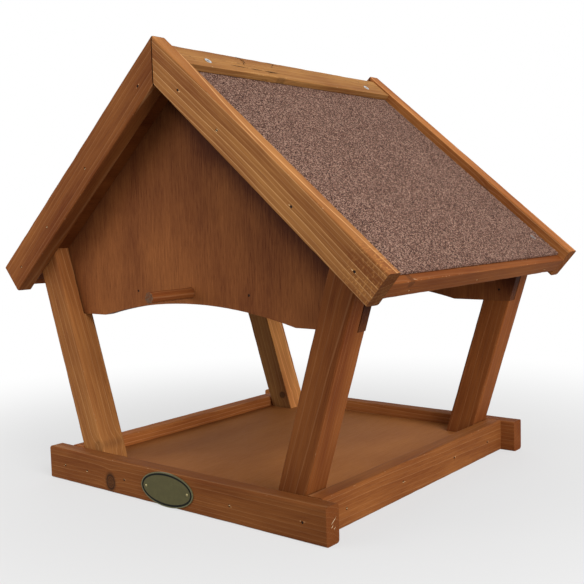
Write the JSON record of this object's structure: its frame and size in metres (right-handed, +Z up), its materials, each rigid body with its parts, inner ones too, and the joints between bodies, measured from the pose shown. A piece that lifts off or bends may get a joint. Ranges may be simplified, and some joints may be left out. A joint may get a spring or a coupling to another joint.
{
  "type": "bird table",
  "caption": "Small wooden bird feeding table: railed tray on a square base, leaning posts, arched gables and a pitched felted roof.",
  "frame": {"origin": "middle of the whole outline seen from above, perch included, on the surface that it stands on", "axes": "+Z up, +X to the right along the front rail, -Y out of the front, where the perch and the oval plate are"},
  "size_m": [0.5558, 0.434, 0.489],
  "materials": {
    "stained_pine": "orange-brown stained pine, satin",
    "gable_plywood": "brown stained plywood",
    "floor_plywood": "plain pinkish plywood",
    "perch_dowel": "stained dowel",
    "mineral_felt": "bitumen felt with red-brown mineral granules",
    "plate_brass": "dull aged brass",
    "steel": "zinc-plated steel"
  },
  "bodies": {
    "root": {"barge_front_left": "stained_pine", "barge_front_right": "stained_pine", "barge_nails": "steel", "barge_rear_left": "stained_pine", "barge_rear_right": "stained_pine", "bearer_nails": "steel", "corner_nails": "steel", "eave_nails": "steel", "eave_screws": "steel", "eave_strip_left": "stained_pine", "eave_strip_right": "stained_pine", "floor_board": "floor_plywood", "floor_nails": "steel", "front_gable": "gable_plywood", "front_rail": "stained_pine", "gable_nails": "steel", "left_rail": "stained_pine", "oval_plate": "plate_brass", "perch": "perch_dowel", "perch_bearer": "stained_pine", "plate_pins": "plate_brass", "post_front_left": "stained_pine", "post_front_right": "stained_pine", "post_rear_left": "stained_pine", "post_rear_right": "stained_pine", "post_screws": "steel", "rafter_front_left": "stained_pine", "rafter_front_right": "stained_pine", "rafter_nails": "steel", "rafter_rear_left": "stained_pine", "rafter_rear_right": "stained_pine", "rear_gable": "gable_plywood", "rear_rail": "stained_pine", "ridge_batten_left": "stained_pine", "ridge_batten_right": "stained_pine", "ridge_screws": "steel", "right_rail": "stained_pine", "roof_board_left": "stained_pine", "roof_board_right": "stained_pine", "roof_felt_left": "mineral_felt", "roof_felt_right": "mineral_felt"}
  },
  "joints": []
}
